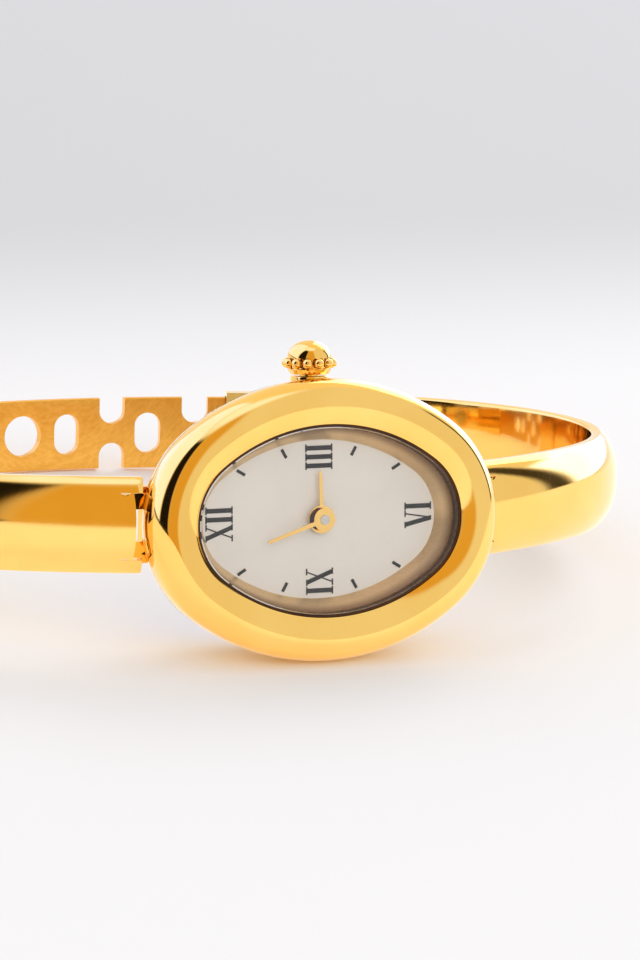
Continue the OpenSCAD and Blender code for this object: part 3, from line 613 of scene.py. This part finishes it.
def strip():
    """The perforated strip: a round hole, slots, and notches in both edges."""
    half, soft = STRIP_W / 2, STRIP_SOFT
    line = Outline(0, soft - half).to(0, half - soft).arc(-soft, half - soft, 90, 4)
    line.to(soft - STRIP_T, half).arc(soft - STRIP_T, half - soft, 90, 4)
    line.to(-STRIP_T, soft - half).arc(soft - STRIP_T, soft - half, 90, 4)
    line.to(-soft, -half).arc(-soft, soft - half, 90, 4)
    start, end = -GAP_ANGLE - STRIP_HELD, window_angle(3) + STRIP_PAST
    turns = [(BACK_CENTRE, PLANE_AXIS, end - start, 90)]
    rings = line.sweep(ring_start(BACK_CENTRE, STRIP_OUT, start - 90), turns)
    close_ends(line.bm, rings, STRIP_BEVEL)
    # Each shape: its place along the strip, its shift across it, its width and its length
    shapes = [(-2, 0, WINDOW_L, WINDOW_L)]
    shapes += [(place, 0, WINDOW_W, WINDOW_L) for place in (-1, 1, 3)]
    notches = [(place, shift) for place in (0, 2) for shift in (-half, half)]
    shapes += [(place, shift, WINDOW_W, WINDOW_L + NOTCH_MORE) for place, shift in notches]
    tools = [
        placed(stadium(width, length, -CUT_IN, CUT_OUT), at_back(window_angle(place), STRIP_OUT, shift))
        for place, shift, width, length in shapes
    ]
    return carved(line.bm, tools)


piece("sizing_strip", strip(), "arm_12", ["size_strip"], "strip_gold", frame_of=LIE_BAND)


# Crown


def crown_frame(height=0.0):
    """Local X across and Z along the crown's axis, starting at the middle of the watch."""
    return Matrix.Translation((0, 0, -STEM_DEPTH)) @ ACROSS @ Matrix.Translation((0, 0, height))


def crown_cap():
    """Skirt, waist behind the beads, and the domed top."""
    waist_r = CROWN_R - BEAD_R + 0.01
    dome_z = SKIRT_H + 2 * BEAD_R + 0.02
    dome_h = CROWN_LEN - dome_z
    line = Outline(CROWN_BORE_R, 0).to(CROWN_R - SKIRT_IN, 0).to(CROWN_R - SKIRT_IN + 0.05, 0.05)
    line.to(CROWN_R - 0.03, SKIRT_H - 0.05).to(CROWN_R - 0.05, SKIRT_H)
    line.to(waist_r, SKIRT_H).to(waist_r, dome_z)
    steps = 16
    for step in range(steps + 1):
        turn = math.radians(90 * step / steps)
        line.to(CROWN_R * math.cos(turn), dome_z + dome_h * math.sin(turn))
    return line.turn(72)


def beads():
    """The ring of beads between skirt and dome."""
    bm = bmesh.new()
    for number in range(BEADS):
        turn = Matrix.Rotation(math.tau * number / BEADS, 4, "Z")
        place = turn @ Matrix.Translation((CROWN_R + BEAD_OUT, 0, SKIRT_H + BEAD_R))
        bmesh.ops.create_uvsphere(bm, u_segments=28, v_segments=16, radius=BEAD_R, matrix=place)
    return bm


def collar():
    """The tube from the case into the crown, with the collar that the crown sits over."""
    inner, outer = OPENING_W / 2 + TUBE_IN, CROWN_BASE + TUBE_OUT
    low, edge = WALL_Y - COLLAR_SUNK, COLLAR_TOP - COLLAR_EDGE
    line = Outline(TUBE_BORE_R, inner).to(TUBE_R, inner).to(TUBE_R, low)
    line.to(COLLAR_R, low).to(COLLAR_R, edge).arc(COLLAR_R - COLLAR_EDGE, edge, 90, 5)
    line.to(TUBE_R, COLLAR_TOP).to(TUBE_R, outer).to(TUBE_BORE_R, outer).close()
    return line.turn(56)


piece("crown_dome", placed(crown_cap(), crown_frame(CROWN_BASE)), "crown", ["crown"], "polished_gold")
piece("crown_bead_ring", placed(beads(), crown_frame(CROWN_BASE)), "crown", ["crown_beads"], "polished_gold")
piece("crown_collar", placed(collar(), crown_frame()), "case", ["crown_tube"], "polished_gold")


# Glass, its ring and the flange


def crystal_pane():
    """The crystal, with a small polished bevel round its top."""
    side = -GASKET_W - CRYSTAL_GAP
    line = Outline(side, CRYSTAL_Z).to(side, CRYSTAL_TOP - CRYSTAL_BEVEL)
    bm = round_case(line.to(side - CRYSTAL_BEVEL, CRYSTAL_TOP))
    bmesh.ops.remove_doubles(bm, verts=bm.verts, dist=FINE_WELD)
    bmesh.ops.holes_fill(bm, edges=[edge for edge in bm.edges if edge.is_boundary])
    return bm


def gasket_ring():
    """The dark ring; its inner face lies just inside the glass, so it shows through the crystal's edge."""
    inner, shoulder = -GASKET_W - GASKET_OVERLAP, CRYSTAL_TOP - 0.09
    line = Outline(inner, CRYSTAL_Z).to(inner, shoulder).to(-GASKET_W, CRYSTAL_TOP - 0.02)
    line.to(-0.04, CRYSTAL_TOP + 0.01).to(-0.01, CRYSTAL_TOP - 0.02).to(-0.01, CRYSTAL_Z)
    return round_case(line.close())


def flange():
    """The slope from the dial's edge up to the glass."""
    line = Outline(-FLANGE_W, 0).to(-FLANGE_W, FLANGE_EDGE).to(-FLANGE_W + 0.03, FLANGE_EDGE + 0.04)
    line.to(-FLANGE_TOP_W, CRYSTAL_Z).to(-SEAT_GAP, CRYSTAL_Z).to(-SEAT_GAP, 0)
    return round_case(line.close())


piece("crystal_pane", crystal_pane(), "case", ["crystal"], "crystal_glass")
piece("gasket_ring", gasket_ring(), "case", ["crystal_gasket"], "brown_gasket")
piece("flange_slope", flange(), "case", ["flange_ring"], "flange_beige")


# Camera at the photograph's angle, taken as a frame of 640 by 960; its lengths are in millimetres

FRAME_H = 960
DISTANCE, PIXELS_PER_MM = 400, 15.3
CAMERA_TURN, CAMERA_RISE, CAMERA_ROLL = math.radians(25.7), math.radians(4.6), math.radians(0.33)
CAMERA_SIDE, CAMERA_UP = 0.22, 2.515


def camera():
    """A long lens to the left of the dial and a little above it."""
    across = Vector((math.cos(CAMERA_TURN), 0, math.sin(CAMERA_TURN)))
    towards = Vector((
        -math.sin(CAMERA_TURN) * math.cos(CAMERA_RISE),
        math.sin(CAMERA_RISE),
        math.cos(CAMERA_TURN) * math.cos(CAMERA_RISE),
    ))
    upright = towards.cross(across)
    spot = towards * DISTANCE + across * CAMERA_SIDE + upright * CAMERA_UP
    turn = Matrix((
        across * math.cos(CAMERA_ROLL) - upright * math.sin(CAMERA_ROLL),
        across * math.sin(CAMERA_ROLL) + upright * math.cos(CAMERA_ROLL),
        towards,
    )).transposed().to_4x4()
    data = bpy.data.cameras.new("camera")
    data.sensor_width = 36
    data.lens = DISTANCE * PIXELS_PER_MM * data.sensor_width / FRAME_H
    data.clip_start, data.clip_end = 0.01, 20
    made = bpy.data.objects.new("camera", data)
    bpy.context.scene.collection.objects.link(made)
    place = LIE @ Matrix.Translation(spot) @ turn
    made.matrix_world = Matrix.LocRotScale(place.to_translation(), place.to_quaternion(), None)
    bpy.context.scene.camera = made


camera()


# Floor and light

FLOOR_R, GREY_FROM, GREY_TO = 1.6, 0.034, 0.100
# The grey tone is painted shade: the dimmer light on the paper behind the watch.
FLOOR_NEAR, FLOOR_FAR_PAINTED_SHADE = rgb(0.93, 0.925, 0.925), rgb(0.66, 0.66, 0.665)
# The mirrored tone is a painted glow: the paper emits it only in what metal mirrors.
FLOOR_MIRRORED_GLOW = rgb(0.3, 0.294, 0.285)
EVEN_LIGHT = rgb(0.86, 0.85, 0.85)
# The studio, by directions in degrees: turn from the front to the right, and rise from the floor.
WALLS = rgb(0.94, 0.92, 0.88)
PANELS = (
    # low and high turn, low and high rise, softness, colour
    ((-200, 200), (74, 100), 6, rgb(1.25, 1.38, 2.2)),
    ((95, 200), (-9, 82), 6, rgb(1.05, 0.96, 0.74)),
    ((-200, -89), (-9, 72), 4, rgb(1.3, 1.45, 2.6)),
    ((-85, -42), (-9, 68), 4, rgb(0.012, 0.010, 0.008)),
    ((-42, 4), (-9, 70), 6, rgb(0.80, 0.49, 0.10)),
    ((84, 93), (-9, 38), 2, rgb(0.06, 0.05, 0.04)),
    ((95, 150), (-9, 27), 2, rgb(2.0, 2.4, 4.4)),
    ((-150, -40), (-9, 1.6), 1, rgb(0.05, 0.04, 0.03)),
)


def floor():
    """Pale paper with painted shade that turns it grey behind the watch, and a painted glow that metal
    mirrors.
    """
    bm = bmesh.new()
    bmesh.ops.create_circle(bm, cap_ends=True, segments=96, radius=FLOOR_R)
    mesh = bpy.data.meshes.new("floor")
    bm.to_mesh(mesh)
    bm.free()
    made = bpy.data.objects.new("floor", mesh)
    bpy.context.scene.collection.objects.link(made)
    look = Look("floor_paper")
    behind = look.node("ShaderNodeSeparateXYZ", {0: look.object_place()}, out=1)
    # Painted shade: the paper greys with distance behind the watch.
    painted_falloff = behind.ramp(GREY_FROM, GREY_TO)
    values = {
        "Base Color": look.blend(painted_falloff, FLOOR_NEAR, FLOOR_FAR_PAINTED_SHADE),
        "Roughness": 0.85,
        # Painted light: this emission shows only to glossy rays.
        "Emission Color": look.blend(look.mirrored(), rgb(0.0, 0.0, 0.0), FLOOR_MIRRORED_GLOW),
        "Emission Strength": 1.0,
    }
    mesh.materials.append(look.finish(look.surface(values)))


def world():
    """Even, nearly white light; polished surfaces mirror bright, orange and dark panels instead."""
    sky = bpy.data.worlds.new("studio")
    bpy.context.scene.world = sky
    look = Look("studio", sky)
    way = look.node("ShaderNodeTexCoord", out="Generated")
    x, y, z = (look.node("ShaderNodeSeparateXYZ", {0: way}, out=axis) for axis in range(3))
    turn = look.calc("ARCTAN2", x, 0.0 - y) * math.degrees(1)
    rise = look.calc("ARCSINE", z) * math.degrees(1)
    tone = WALLS
    for turns, rises, soft, colour in PANELS:
        tone = look.blend(turn.within(*turns, soft) * rise.within(*rises, soft), tone, colour)
    tone = look.blend(look.mirrored(), EVEN_LIGHT, tone)
    shade = look.node("ShaderNodeBackground", {"Color": tone, "Strength": 1.0})
    look.finish(shade, "ShaderNodeOutputWorld")


def softbox(name, azimuth, elevation, distance, width, height, watts, mirrored=True):
    """An area lamp that looks at the watch, placed by its direction from there."""
    turn, rise = math.radians(azimuth), math.radians(elevation)
    back = Vector((math.sin(turn) * math.cos(rise), -math.cos(turn) * math.cos(rise), math.sin(rise)))
    data = bpy.data.lights.new(name, "AREA")
    data.shape = "RECTANGLE"
    data.size, data.size_y = width, height
    data.energy = watts
    made = bpy.data.objects.new(name, data)
    bpy.context.scene.collection.objects.link(made)
    made.visible_glossy = mirrored
    made.location = Vector((0, 0, 0.01)) + back * distance
    made.rotation_euler = back.to_track_quat("Z", "Y").to_euler()


floor()
world()
softbox("key_box", azimuth=125, elevation=38, distance=0.6, width=0.35, height=0.25, watts=0.6)
softbox(
    "fill_box", azimuth=-10, elevation=32, distance=0.7, width=0.6, height=0.4, watts=0.72, mirrored=False
)

bpy.context.scene.view_settings.view_transform = "Standard"
